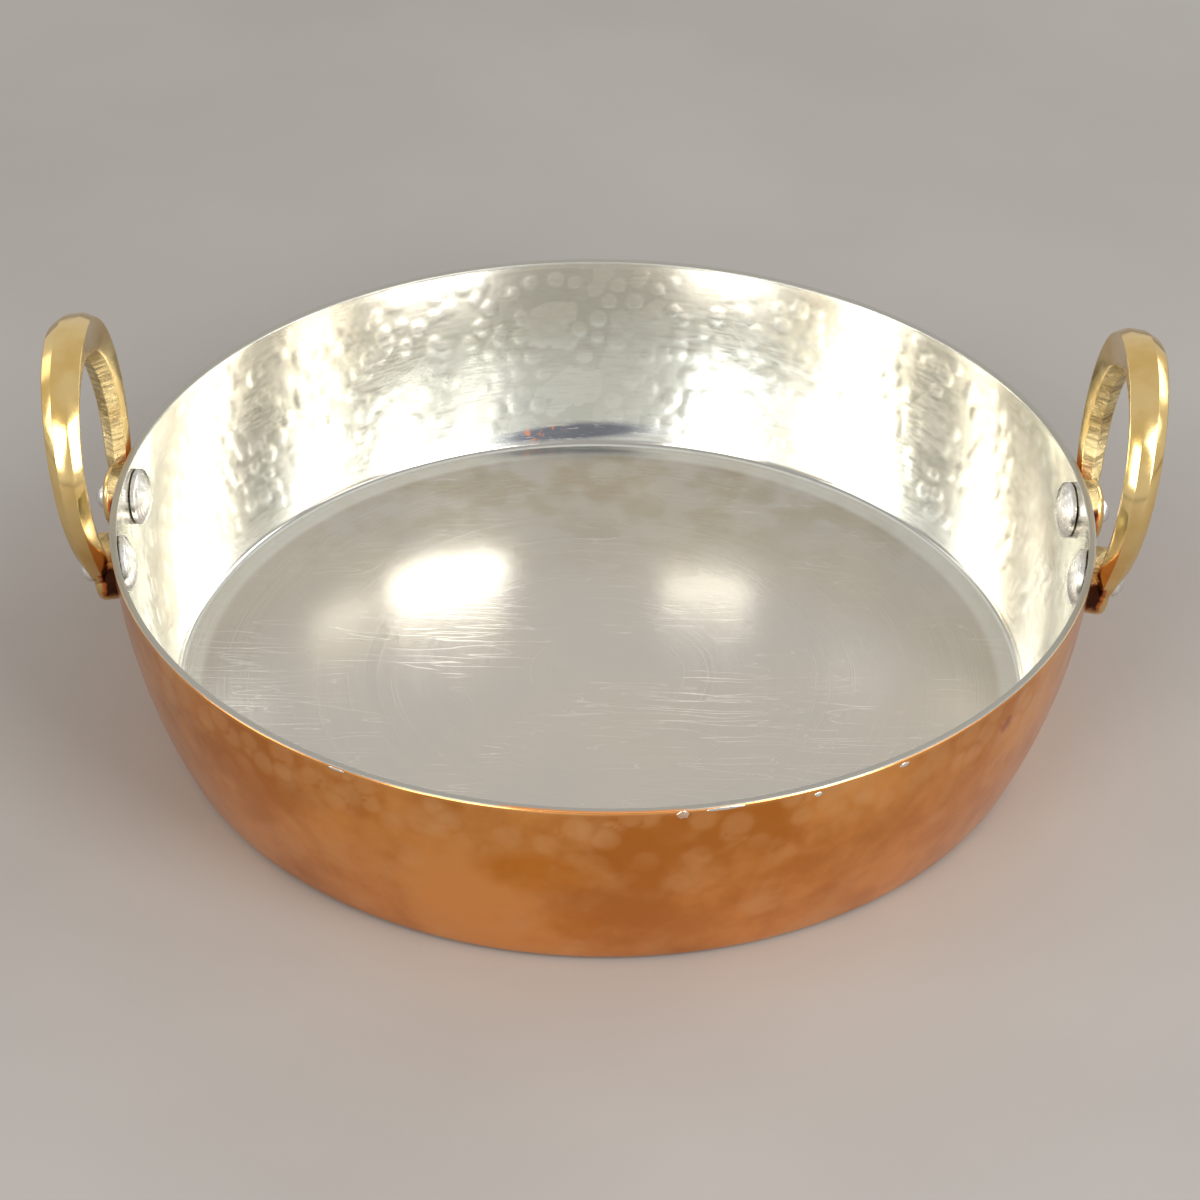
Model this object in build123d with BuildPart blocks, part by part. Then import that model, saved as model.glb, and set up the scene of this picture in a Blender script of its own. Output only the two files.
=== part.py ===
from build123d import *

import os
from math import acos, asin, cos, degrees, radians, sin, sqrt

# A two-handled hammered copper pan, tinned inside, with cast brass ring handles.
# Millimetres, +Z up. The origin is the middle of the base, on the table.
# +X points at the right handle, and a cook facing the pan stands on the -Y side.

# Pan: one sheet of copper raised into a flat floor and a slightly bowed wall
rim_radius = 130.0
pan_height = 57.6
wall_flare = 13.5  # how much further out the rim is than the wall's foot, ignoring its rounded corner
wall_bow = 2.7  # how far the wall swells past a straight line from base to rim
copper_thickness = 1.5
outer_corner_radius = 4.0

# Tin wiped over the inside and over the cut rim
tin_thickness = 0.3

# Rivets: wide low heads inside, small formed heads outside
rivet_drop = 10.6  # from the rim down to the middle of a rivet, along Z
rivet_spacing = 32.3  # between the two rivets of one handle, straight across
shank_radius = 2.5
head_radius = 7.5
head_edge = 1.3  # the plain band round the head
head_height = 3.6
tail_radius = 3.5
tail_edge = 1.4
tail_height = 3.8

# Handles: an open ring of bar, leaning outwards, with a round pad at each foot.
# The finger hole sits lower than the ring, so the grip is deep at the top and the legs are slim.
ring_radius = 32.2  # the ring line, which the bar's widths and rises are measured from
handle_lean = 7.6  # degrees out from upright
finger_hole_radius = 27.6
finger_hole_drop = 3.4
finger_ridge = 2.3  # how far the ridge along the middle of the finger side stands into the hole
widest_rise = 0.6  # the bar is widest this far outside the ring line
grip_width = 10.9  # at the top of the ring, across the bar
grip_finger_width = 6.6  # of the finger side there
grip_rise = 2.0  # from the ring line to the outer flat there
leg_width = 7.2
leg_finger_width = 5.8
leg_rise = 2.3
leg_angle = 128.0  # degrees round the ring from its top, where the leg is slimmest
foot_width = 3.4  # the end of the bar, inside the foot pad
foot_finger_width = 2.8
foot_rise = 8.0
flare_angle = 110.0  # degrees from the top, where the outer flat starts to flare towards the pad's edge
outer_flat = 0.42  # share of the bar's width that the outer flat takes
pad_radius = 8.9
pad_thickness = 5.4
pad_edge_radius = 2.0
ring_sections = 21

# Fits
hole_clearance = 0.05  # all round a shank
tail_clearance = 0.05  # round a formed head, where the bar is spot-faced for it
seat_gap = 0.05  # between a foot pad and the wall
head_gap = 0.4  # under the middle of a wide head, so that its flat back clears the hollow wall

handle_azimuths = {"right": 0.0, "left": 180.0}

# The wall in section is one circular arc, so its centre and radius give every point on it
chord = sqrt(wall_flare**2 + pan_height**2)
arc_radius = (chord**2 / 4 + wall_bow**2) / (2 * wall_bow)
arc_centre_x = rim_radius - wall_flare / 2 - (arc_radius - wall_bow) * pan_height / chord
arc_centre_z = pan_height / 2 + (arc_radius - wall_bow) * wall_flare / chord

sheet_thickness = copper_thickness + tin_thickness
hole_radius = shank_radius + hole_clearance
rivet_height = pan_height - rivet_drop

# The ring runs through the middle of both foot pads, and each end stops over a rivet's middle
ring_climb = sqrt(ring_radius**2 - (rivet_spacing / 2) ** 2)
ring_half_turn = 90 + degrees(acos(rivet_spacing / 2 / ring_radius))


def wall_radius(z, inset=0.0):
    """Distance from the pan's axis to the wall at height z, for the surface moved in by inset."""
    return arc_centre_x + sqrt((arc_radius - inset) ** 2 - (z - arc_centre_z) ** 2)


def cup_outline(inset):
    """Half section of everything inside the pan's outer surface moved in by inset, up to the rim."""
    middle = pan_height / 2
    with BuildSketch(Plane.XZ) as outline:
        with BuildLine():
            Polyline(
                (wall_radius(pan_height, inset), pan_height),
                (0, pan_height),
                (0, inset),
                (wall_radius(inset, inset), inset),
            )
            ThreePointArc(
                (wall_radius(inset, inset), inset),
                (wall_radius(middle, inset), middle),
                (wall_radius(pan_height, inset), pan_height),
            )
        make_face()
        corner = outline.vertices().group_by(Axis.Y)[0].sort_by(Axis.X)[-1]
        fillet(corner, outer_corner_radius - inset)
    return outline.sketch


def rivet_plane(azimuth, side):
    """Plane on the outer wall at one rivet, facing straight out of the wall."""
    radius = wall_radius(rivet_height)
    turn = radians(azimuth) + side * asin(rivet_spacing / 2 / radius)
    out = Vector(cos(turn), sin(turn), 0)
    along = Vector(-sin(turn), cos(turn), 0)
    normal = out * (radius - arc_centre_x) + Vector(0, 0, rivet_height - arc_centre_z)
    return Plane(origin=out * radius + Vector(0, 0, rivet_height), x_dir=along, z_dir=normal)


def ring_plane(azimuth, pads):
    """Plane of one handle's ring: x along the rim, y up the lean, z away from the pan."""
    out = Vector(cos(radians(azimuth)), sin(radians(azimuth)), 0)
    along = Vector(-sin(radians(azimuth)), cos(radians(azimuth)), 0)
    up_the_lean = out * sin(radians(handle_lean)) + Vector(0, 0, cos(radians(handle_lean)))
    across = out * cos(radians(handle_lean)) - Vector(0, 0, sin(radians(handle_lean)))
    between_pads = (pads[0].origin + pads[1].origin) * 0.5 + across * (pad_thickness / 2)
    return Plane(origin=between_pads + up_the_lean * ring_climb, x_dir=along, z_dir=across)


def bar_width(from_top, grip, leg, foot):
    """A width of the bar at an angle from the top of the ring, in degrees, from its three named values."""
    if from_top <= leg_angle:
        return grip + (leg - grip) * from_top / leg_angle
    return leg + (foot - leg) * (from_top - leg_angle) / (ring_half_turn - leg_angle)


def outer_rise(from_top):
    """From the ring line to the outer flat: nearly even round the ring, then a flare into the foot."""
    rise = grip_rise + (leg_rise - grip_rise) * min(from_top / flare_angle, 1)
    flare = max(from_top - flare_angle, 0) / (ring_half_turn - flare_angle)
    return rise + (foot_rise - leg_rise) * flare**2


def finger_hole_distance(from_top):
    """From the ring's middle to the edge of the finger hole, whose own middle lies lower."""
    angle = radians(from_top)
    return sqrt(finger_hole_radius**2 - (finger_hole_drop * sin(angle)) ** 2) - finger_hole_drop * cos(angle)


def bar_section(ring, from_top):
    """The seven-sided section of the bar: a polished flat and slopes, and a ridge on the finger side."""
    width = bar_width(abs(from_top), grip_width, leg_width, foot_width)
    finger_width = bar_width(abs(from_top), grip_finger_width, leg_finger_width, foot_finger_width)
    rise = outer_rise(abs(from_top))
    hole_edge = finger_hole_distance(abs(from_top)) - ring_radius
    angle = radians(90 - from_top)
    origin = ring.from_local_coords((ring_radius * cos(angle), ring_radius * sin(angle), 0))
    tangent = ring.y_dir * cos(angle) - ring.x_dir * sin(angle)
    flat = width * outer_flat / 2
    with BuildSketch(Plane(origin=origin, x_dir=ring.z_dir, z_dir=tangent)) as section:
        with BuildLine():
            Polyline(
                (-flat, rise),
                (flat, rise),
                (width / 2, widest_rise),
                (finger_width / 2, hole_edge),
                (0, hole_edge - finger_ridge),
                (-finger_width / 2, hole_edge),
                (-width / 2, widest_rise),
                close=True,
            )
        make_face()
    return section.sketch


def dome(radius, tip, rim):
    """The rounded end of a rivet head, from its tip on the axis to the edge of its band."""
    rise = abs(rim - tip)
    ball = (radius**2 + rise**2) / (2 * rise)
    drop = ball - sqrt(ball**2 - (radius / 2) ** 2)
    middle = tip + drop * (1 if rim > tip else -1)
    return ThreePointArc((0, tip), (radius / 2, middle), (radius, rim))


section_angles = [ring_half_turn * (2 * step / (ring_sections - 1) - 1) for step in range(ring_sections)]

rivet_places = {}
for side_name, azimuth in handle_azimuths.items():
    for end in (-1, 1):
        plane = rivet_plane(azimuth, end)
        end_name = "front" if plane.origin.Y < 0 else "back"
        rivet_places[f"rivet_{side_name}_{end_name}"] = plane

os.makedirs("parts", exist_ok=True)

# The copper pan, with a hole for each rivet
with BuildPart() as pan_body:
    revolve(cup_outline(0), axis=Axis.Z)
    revolve(cup_outline(copper_thickness), axis=Axis.Z, mode=Mode.SUBTRACT)
    split(bisect_by=Plane.XY.offset(pan_height - tin_thickness), keep=Keep.BOTTOM)
    for plane in rivet_places.values():
        with BuildSketch(plane):
            Circle(hole_radius)
        extrude(amount=2 * copper_thickness, both=True, mode=Mode.SUBTRACT)
pan_body.part.label = "pan_body"
export_step(pan_body.part, "parts/pan_body.step")

# The tin lining: a thin skin inside the copper, carried over the cut rim
with BuildPart() as tin_lining:
    revolve(cup_outline(copper_thickness), axis=Axis.Z)
    with BuildSketch(Plane.XY.offset(pan_height - tin_thickness)):
        Circle(wall_radius(pan_height - tin_thickness))
    extrude(amount=tin_thickness)
    revolve(cup_outline(sheet_thickness), axis=Axis.Z, mode=Mode.SUBTRACT)
    for plane in rivet_places.values():
        with BuildSketch(plane):
            Circle(hole_radius)
        extrude(amount=2 * sheet_thickness, both=True, mode=Mode.SUBTRACT)
tin_lining.part.label = "tin_lining"
export_step(tin_lining.part, "parts/tin_lining.step")

# The handles: two foot pads hollowed to the wall, joined by the ring of tapering bar.
# The bar ends inside the pads, and what of it stands over a pad's face is cut away for the rivet.
for side_name, azimuth in handle_azimuths.items():
    pads = [place for name, place in rivet_places.items() if side_name in name]
    ring = ring_plane(azimuth, pads)
    with BuildPart() as handle:
        for place in pads:
            with BuildSketch(place.offset(pad_thickness)):
                Circle(pad_radius)
            extrude(amount=-2 * pad_thickness)
            pad_axis = Axis(place.origin, place.z_dir)
            front = handle.faces(Select.LAST).filter_by(pad_axis).sort_by(pad_axis)[-1]
            fillet(front.edges(), pad_edge_radius)
        loft([bar_section(ring, from_top) for from_top in section_angles])
        revolve(cup_outline(-seat_gap), axis=Axis.Z, mode=Mode.SUBTRACT)
        for place in pads:
            with BuildSketch(place):
                Circle(hole_radius)
            extrude(amount=2 * pad_thickness, both=True, mode=Mode.SUBTRACT)
            with BuildSketch(place.offset(pad_thickness)):
                Circle(tail_radius + tail_clearance)
            extrude(amount=tail_height, mode=Mode.SUBTRACT)
    handle.part.label = f"handle_{side_name}"
    export_step(handle.part, f"parts/handle_{side_name}.step")

# The rivets: each is turned round its own axis, from the wide inner head to the formed outer head
under_head = -sheet_thickness - head_gap
head_top = under_head - head_height
tail_top = pad_thickness + tail_height

for name, place in rivet_places.items():
    with BuildPart() as rivet:
        with BuildSketch(Plane(origin=place.origin, x_dir=place.x_dir, z_dir=-place.y_dir)):
            with BuildLine():
                dome(head_radius, head_top, under_head - head_edge)
                Polyline(
                    (head_radius, under_head - head_edge),
                    (head_radius, under_head),
                    (shank_radius, under_head),
                    (shank_radius, pad_thickness),
                    (tail_radius, pad_thickness),
                    (tail_radius, pad_thickness + tail_edge),
                )
                dome(tail_radius, tail_top, pad_thickness + tail_edge)
                Line((0, tail_top), (0, head_top))
            make_face()
        revolve(axis=Axis(place.origin, place.z_dir))
    rivet.part.label = name
    export_step(rivet.part, f"parts/{name}.step")
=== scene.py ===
# %% [markdown]
# # A hammered copper pan with ring handles
#
# The real pan starts as a flat disc of copper. It is raised over a stake into a shallow cup, hammered all
# over so that the metal hardens, wiped inside with molten tin, and given two cast brass rings, each held by
# two rivets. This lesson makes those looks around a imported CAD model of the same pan, in the same frame.
# Everything is in metres, with the middle of the base at the origin and +X towards the right handle.

from math import acos, asin, atan, cos, exp, pi, radians, sin, sqrt, tau

import bmesh
import bpy
from mathutils import Matrix, Vector, noise


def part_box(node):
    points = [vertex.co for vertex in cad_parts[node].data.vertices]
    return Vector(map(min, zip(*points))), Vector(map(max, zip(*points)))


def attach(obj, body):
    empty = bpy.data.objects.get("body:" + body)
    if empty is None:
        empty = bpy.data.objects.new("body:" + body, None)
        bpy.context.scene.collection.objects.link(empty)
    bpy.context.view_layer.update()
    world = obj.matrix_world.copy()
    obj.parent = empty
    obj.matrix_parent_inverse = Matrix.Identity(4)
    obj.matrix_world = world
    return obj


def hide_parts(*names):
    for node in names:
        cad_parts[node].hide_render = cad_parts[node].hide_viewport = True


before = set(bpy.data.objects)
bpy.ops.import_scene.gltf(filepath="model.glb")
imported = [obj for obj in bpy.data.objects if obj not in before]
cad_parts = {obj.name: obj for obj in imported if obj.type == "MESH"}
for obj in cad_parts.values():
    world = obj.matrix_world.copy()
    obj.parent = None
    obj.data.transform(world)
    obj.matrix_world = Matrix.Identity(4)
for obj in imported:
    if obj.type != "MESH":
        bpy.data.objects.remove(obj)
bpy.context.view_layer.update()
print("packed nodes:", sorted(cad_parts))

# %% [markdown]
# ## The pan's sizes
#
# A maker works from a few sizes: rim, height, flare, bow, and the thickness of copper and tin. The pan's
# wall in section is one circular arc, so all of its surfaces are that arc at a different radius. The corner
# between wall and floor is a smaller arc that touches both. Working them out here, instead of measuring the
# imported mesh, gives smooth curves at any number of points.

# %% Sizes of the pan and its wall
MM = 0.001
RIM_RADIUS = 130.0 * MM
PAN_HEIGHT = 57.6 * MM
WALL_FLARE = 13.5 * MM
WALL_BOW = 2.7 * MM
COPPER = 1.5 * MM
TIN = 0.3 * MM
SHEET = COPPER + TIN
OUTER_CORNER = 4.0 * MM

wall_chord = sqrt(WALL_FLARE**2 + PAN_HEIGHT**2)
arc_radius = (wall_chord**2 / 4 + WALL_BOW**2) / (2 * WALL_BOW)
arc_centre_r = RIM_RADIUS - WALL_FLARE / 2 - (arc_radius - WALL_BOW) * PAN_HEIGHT / wall_chord
arc_centre_z = PAN_HEIGHT / 2 + (arc_radius - WALL_BOW) * WALL_FLARE / wall_chord


def wall_radius(z, inset=0.0):
    """Distance from the pan's axis to the wall at height z, for the surface moved in by inset."""
    return arc_centre_r + sqrt((arc_radius - inset) ** 2 - (z - arc_centre_z) ** 2)


rim_in_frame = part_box("tin_lining")[1]
print("rim radius in mm, lesson and frame:", 1000 * RIM_RADIUS, round(1000 * rim_in_frame.x, 2))
print("rim height in mm, lesson and frame:", 1000 * PAN_HEIGHT, round(1000 * rim_in_frame.z, 2))
print("wall arc radius in mm:", round(1000 * arc_radius, 1))

# %% [markdown]
# ## The camera
#
# The picture was taken from in front, about 34 degrees above the pan, from just under a metre away. The
# camera is first aimed straight at the middle of the rim, then turned a little so that the rim lands above
# the middle of the frame, then rolled by under a degree. Doing this with three plain vectors keeps the
# camera's numbers readable as angles and distances.

# %% Place the camera
CAMERA_DISTANCE = 917.4 * MM
CAMERA_ELEVATION = radians(33.85)
CAMERA_ROLL = radians(0.83)
LENS_MM = 103.8
SENSOR_MM = 36.0
AIM_RIGHT_MM = 0.054
AIM_DOWN_MM = 2.88


def camera_axes():
    """The camera's right, up and forward directions."""
    right = Vector((1, 0, 0))
    up = Vector((0, sin(CAMERA_ELEVATION), cos(CAMERA_ELEVATION)))
    forward = Vector((0, cos(CAMERA_ELEVATION), -sin(CAMERA_ELEVATION)))
    yaw = atan(AIM_RIGHT_MM / LENS_MM)
    pitch = -atan(AIM_DOWN_MM / LENS_MM)
    turned_right = cos(yaw) * right + sin(yaw) * forward
    turned_forward = cos(yaw) * forward - sin(yaw) * right
    tilted_up = cos(pitch) * up - sin(pitch) * turned_forward
    tilted_forward = sin(pitch) * up + cos(pitch) * turned_forward
    rolled_right = cos(CAMERA_ROLL) * turned_right + sin(CAMERA_ROLL) * tilted_up
    rolled_up = cos(CAMERA_ROLL) * tilted_up - sin(CAMERA_ROLL) * turned_right
    return rolled_right, rolled_up, tilted_forward


lens = bpy.data.cameras.new("camera")
lens.lens = LENS_MM
lens.sensor_width = SENSOR_MM
lens.clip_start = 0.01
lens.clip_end = 50.0
camera = bpy.data.objects.new("camera", lens)
bpy.context.scene.collection.objects.link(camera)
bpy.context.scene.camera = camera
right, up, forward = camera_axes()
aimed_from = Vector((0, -cos(CAMERA_ELEVATION), sin(CAMERA_ELEVATION))) * CAMERA_DISTANCE
place = aimed_from + Vector((0, 0, PAN_HEIGHT))
camera.matrix_world = Matrix((
    (right.x, up.x, -forward.x, place.x),
    (right.y, up.y, -forward.y, place.y),
    (right.z, up.z, -forward.z, place.z),
    (0, 0, 0, 1),
))
print("camera at", [round(x, 3) for x in camera.location])

# %% [markdown]
# ## A short way to write nodes
#
# Materials and Geometry Nodes are both trees of nodes. Written out in full, each node takes five or six
# lines. One helper makes a node and fills its inputs: a plain value is set on the input, and another node's
# output is wired to it. Extra words set the node's own options. A metal's colour is then a list of layers:
# each one says how much of it shows, and where, over what lies under it.

# %% A helper for nodes


def fill(tree, made, inputs):
    """Fills a node's inputs, given by name or number, with plain values or with other nodes' outputs."""
    for key, value in inputs.items():
        if isinstance(value, bpy.types.NodeSocket):
            tree.links.new(value, made.inputs[key])
        else:
            made.inputs[key].default_value = value


def node(tree, kind, inputs=None, **options):
    """Adds a node to a tree, sets its own options and fills its inputs."""
    made = tree.nodes.new(kind)
    for name, value in options.items():
        setattr(made, name, value)
    fill(tree, made, inputs or {})
    return made


def maths(tree, operation, *values):
    """One Math node with the given inputs, and its result."""
    return node(tree, "ShaderNodeMath", dict(enumerate(values)), operation=operation).outputs[0]


def times(tree, first, second):
    """Two values multiplied."""
    return maths(tree, "MULTIPLY", first, second)


def plus(tree, first, second):
    """Two values added."""
    return maths(tree, "ADD", first, second)


def minus(tree, first, second):
    """The first value less the second."""
    return maths(tree, "SUBTRACT", first, second)


def vector_maths(tree, operation, *values):
    """One Vector Math node with the given inputs, and its two outputs: a vector and a number."""
    return node(tree, "ShaderNodeVectorMath", dict(enumerate(values)), operation=operation).outputs


def between(tree, value, low, high, at_low=0.0, at_high=1.0):
    """value taken smoothly from at_low to at_high as it passes from low to high."""
    ends = {"Value": value, "From Min": low, "From Max": high, "To Min": at_low, "To Max": at_high}
    return node(tree, "ShaderNodeMapRange", ends, interpolation_type="SMOOTHSTEP").outputs["Result"]


def colour(red, green, blue):
    """A colour from 0 to 1, with nothing see-through."""
    return (red, green, blue, 1.0)


def layered(tree, base, *layers):
    """A base colour with others laid over it in turn. A layer is how much of it shows and its colour."""
    for share, tone in layers:
        base = node(tree, "ShaderNodeMix", {0: share, 6: base, 7: tone}, data_type="RGBA").outputs[2]
    return base


def cloud(tree, where, scale, detail=3.0, roughness=0.5):
    """Soft random values from 0 to 1 in space."""
    settings = {"Vector": where, "Scale": scale, "Detail": detail, "Roughness": roughness}
    return node(tree, "ShaderNodeTexNoise", settings).outputs["Fac"]


def bumped(tree, height, strength, distance, under=None):
    """A bump from a height, laid over another bump where one is given."""
    inputs = {"Height": height, "Strength": strength, "Distance": distance}
    if under is not None:
        inputs["Normal"] = under
    return node(tree, "ShaderNodeBump", inputs).outputs["Normal"]


def new_material(name):
    """A material with an empty Principled shader, and its tree."""
    material = bpy.data.materials.new(name)
    material.use_nodes = True
    return material, material.node_tree


def shaded(material, base, roughness, bump=None, metallic=1.0):
    """Fills a material's shader, and gives the material back."""
    inputs = {"Base Color": base, "Roughness": roughness, "Metallic": metallic}
    if bump is not None:
        inputs["Normal"] = bump
    fill(material.node_tree, material.node_tree.nodes["Principled BSDF"], inputs)
    return material


print("helpers ready")

# %% [markdown]
# ## Where a pattern runs on a round pan
#
# Brush strokes on the wall run round the pan, and turning marks on the floor are circles. Both are noise
# that has been stretched: it changes fast in one direction and slowly in the others. The fast direction is
# height on the wall, and distance from the axis on the floor, both read from Object coordinates. A single
# stain is an oval with a real place on the pan, so it stays put from every side.

# %% Directions and places for patterns


def object_place(tree):
    """Object coordinates, and their three parts."""
    where = node(tree, "ShaderNodeTexCoord").outputs["Object"]
    parts = node(tree, "ShaderNodeSeparateXYZ", {0: where})
    return where, parts.outputs[0], parts.outputs[1], parts.outputs[2]


def from_axis(tree, x, y):
    """Distance from the pan's axis."""
    return maths(tree, "SQRT", plus(tree, times(tree, x, x), times(tree, y, y)))


def joined_up(tree, x, y, z):
    """Three values as one place."""
    return node(tree, "ShaderNodeCombineXYZ", {0: x, 1: y, 2: z}).outputs[0]


def stretched(tree, x, y, fast, slow_scale, fast_scale):
    """Coordinates that change slowly over x and y and fast along another length."""
    slow_x, slow_y = times(tree, x, slow_scale), times(tree, y, slow_scale)
    return joined_up(tree, slow_x, slow_y, times(tree, fast, fast_scale))


def ragged(tree, value, where, scale, reach, detail=3.0):
    """A value pushed up by a noise, by reach at most, so that an edge taken from it is uneven."""
    return plus(tree, value, times(tree, cloud(tree, where, scale, detail), reach))


def oval(middle, reach):
    """An oval from its middle and its reach in millimetres."""
    return {"middle": Vector(middle) * MM, "reach": Vector(reach) * MM}


def oval_mask(tree, where, middle, reach):
    """1 in the middle of an oval and 0 outside it."""
    scaled = vector_maths(tree, "DIVIDE", vector_maths(tree, "SUBTRACT", where, middle)[0], reach)[0]
    return between(tree, vector_maths(tree, "LENGTH", scaled)["Value"], 0.45, 1.05, 1.0, 0.0)


print("directions ready")

# %% [markdown]
# ## Tin on the wall
#
# Tin is wiped on hot with a cloth, so it keeps short fine strokes that run round the wall, and a faint
# yellow tint. It is bright and almost a mirror. It is painted greyer along the edges of the hammer's dishes,
# a painted shade for dish edges that show darker in the bright bands. It is painted darker and yellower
# towards the handles, a painted shade for the two ends of the wall. It is duller on the rim, where it was
# wiped off, and browner in a narrow band just above the floor. A dark smear with a little bare copper in it
# lies low on the back wall, and copper shows through the thin tin on the front of the rim.

# %% The tinned wall
SMEAR = oval((-10.0, 116.0, 6.0), (33.0, 12.0, 3.4))
SMEAR_CLIMB = 0.045
RED_SPOT = oval((-19.0, 116.0, 6.0), (9.0, 9.0, 4.0))
BARE_RIM_X = 22.0 * MM
BARE_RIM_MIDDLE_X = -1.0 * MM
BARE_RIM_RAGGED = 8.0 * MM
BARE_RIM_FADE = 6.0 * MM
# Height of the browner band just above the floor.
CORNER_BAND = 2.0 * MM
# Where the painted shade at the two ends of the wall begins and is full.
END_SHADE_FROM_X = 98.0 * MM
END_SHADE_TO_X = 120.0 * MM
WHITE_TIN = colour(0.87, 0.88, 0.845)
YELLOW_TIN = colour(0.88, 0.875, 0.81)
STREAK_GREY = colour(0.70, 0.69, 0.66)
# Painted shade: grey for the edges of the hammer's dishes.
DISH_EDGE_SHADE = colour(0.62, 0.63, 0.57)
STROKE_GREY = colour(0.62, 0.61, 0.57)
# Painted shade: darker, yellower tin for the ends of the wall near the handles.
SHADED_END_TIN = colour(0.66, 0.61, 0.47)
SMEAR_DARK = colour(0.16, 0.17, 0.20)
SMEAR_RED = colour(0.55, 0.22, 0.12)
CORNER_BROWN = colour(0.30, 0.28, 0.25)
RIM_GREY = colour(0.40, 0.38, 0.34)
BARE_COPPER = colour(0.83, 0.36, 0.13)


def blow_edge(tree):
    """0 in the middle of a hammer dish and 1 at its edge, as the hammering stores it on the sheet."""
    return node(tree, "ShaderNodeAttribute", attribute_name="blow_edge").outputs["Fac"]


def bare_rim(tree, where, x, y):
    """1 on the stretch of rim in front where the tin has worn off."""
    in_front = maths(tree, "LESS_THAN", y, 0.0)
    edge = between(tree, from_axis(tree, x, y), RIM_RADIUS - 0.8 * MM, RIM_RADIUS - 0.4 * MM)
    sideways = maths(tree, "ABSOLUTE", minus(tree, x, BARE_RIM_MIDDLE_X))
    uneven = ragged(tree, sideways, where, 300.0, BARE_RIM_RAGGED)
    near = between(tree, uneven, BARE_RIM_X, BARE_RIM_X + BARE_RIM_FADE, 1.0, 0.0)
    return times(tree, times(tree, in_front, edge), near)


def tinned_wall():
    material, tree = new_material("tinned_wall")
    where, x, y, z = object_place(tree)
    strokes = cloud(tree, stretched(tree, x, y, z, 150.0, 1500.0), 1.0, 3.0, 0.6)
    streaks = cloud(tree, stretched(tree, x, y, z, 25.0, 420.0), 1.0, 2.0)
    blotches = cloud(tree, where, 38.0, 3.0)
    torn = cloud(tree, stretched(tree, x, y, z, 90.0, 900.0), 1.0, 4.0, 0.7)
    tilted = joined_up(tree, x, y, minus(tree, z, times(tree, x, SMEAR_CLIMB)))
    smear = times(tree, oval_mask(tree, tilted, **SMEAR), between(tree, torn, 0.34, 0.48))
    fleck = between(tree, cloud(tree, where, 420.0, 2.0), 0.50, 0.60)
    specks = times(tree, oval_mask(tree, where, **RED_SPOT), fleck)
    # Painted shade: darker, yellower tin towards the handles at both ends of the wall.
    end_shade = between(tree, maths(tree, "ABSOLUTE", x), END_SHADE_FROM_X, END_SHADE_TO_X, 0.0, 0.45)
    above_floor = between(tree, z, SHEET + 0.1 * MM, SHEET + 0.5 * MM)
    # Browner in a narrow band just above the floor.
    below_corner_band = between(tree, z, SHEET + CORNER_BAND / 2, SHEET + CORNER_BAND, 0.7, 0.0)
    on_rim = between(tree, z, PAN_HEIGHT - 0.45 * MM, PAN_HEIGHT - 0.15 * MM)
    tone = layered(
        tree, WHITE_TIN,
        (between(tree, blotches, 0.35, 0.7), YELLOW_TIN),
        (between(tree, streaks, 0.45, 0.8, 0.0, 0.3), STREAK_GREY),
        # Painted shade along the edges of the hammer's dishes.
        (between(tree, blow_edge(tree), 0.4, 0.9, 0.0, 0.45), DISH_EDGE_SHADE),
        (between(tree, strokes, 0.52, 0.68, 0.0, 0.4), STROKE_GREY),
        # Painted shade at the two ends of the wall.
        (end_shade, SHADED_END_TIN),
        (smear, layered(tree, SMEAR_DARK, (times(tree, specks, 0.85), SMEAR_RED))),
        (times(tree, above_floor, below_corner_band), CORNER_BROWN),
        (times(tree, on_rim, 0.85), RIM_GREY),
        (bare_rim(tree, where, x, y), BARE_COPPER),
    )
    polish = between(tree, strokes, 0.3, 0.7, 0.12, 0.20)
    duller = plus(tree, times(tree, smear, 0.2), times(tree, on_rim, 0.22))
    fine = bumped(tree, strokes, 0.2, 0.03 * MM)
    pitted = bumped(tree, cloud(tree, where, 900.0, 2.0), 0.12, 0.08 * MM, fine)
    return shaded(material, tone, plus(tree, polish, duller), pitted)


tinned_wall_material = tinned_wall()
print("made", tinned_wall_material.name)

# %% [markdown]
# ## Tin on the floor
#
# The floor was turned and scoured, so it is a satin surface: fine circles round the middle, a haze of
# crossing scratches and a warm grey tone, browner in patches at the back, with a paler ring next to the
# wall that the scouring missed. The circles are noise that changes only with distance from the axis.
# Scratches are very thin stretches of a noise where it passes its middle value.

# %% The tinned floor
PALE_RING = 109.0 * MM
PALE_RING_FADE = 1.0 * MM
BROWN_FROM_Y = 35.0 * MM
BROWN_TO_Y = 100.0 * MM
GREY_TIN = colour(0.62, 0.585, 0.545)
WARM_TIN = colour(0.67, 0.61, 0.53)
CIRCLE_GREY = colour(0.58, 0.55, 0.51)
FLOOR_BROWN = colour(0.50, 0.42, 0.30)
PALE_TIN = colour(0.82, 0.80, 0.75)
SCRATCH_WHITE = colour(0.88, 0.86, 0.82)
SCRATCH_STRETCH = (1, 9, 1)


def scratches(tree, where, turn, scale, width, patch_scale, patch_low, patch_high):
    """Thin curved lines in patches, 1 on a scratch and 0 beside it."""
    settings = {"Vector": where, "Rotation": (0, 0, turn), "Scale": SCRATCH_STRETCH}
    value = cloud(tree, node(tree, "ShaderNodeMapping", settings).outputs[0], scale, 1.0)
    lines = between(tree, maths(tree, "ABSOLUTE", minus(tree, value, 0.5)), 0.0, width, 1.0, 0.0)
    return times(tree, lines, between(tree, cloud(tree, where, patch_scale), patch_low, patch_high))


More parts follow.
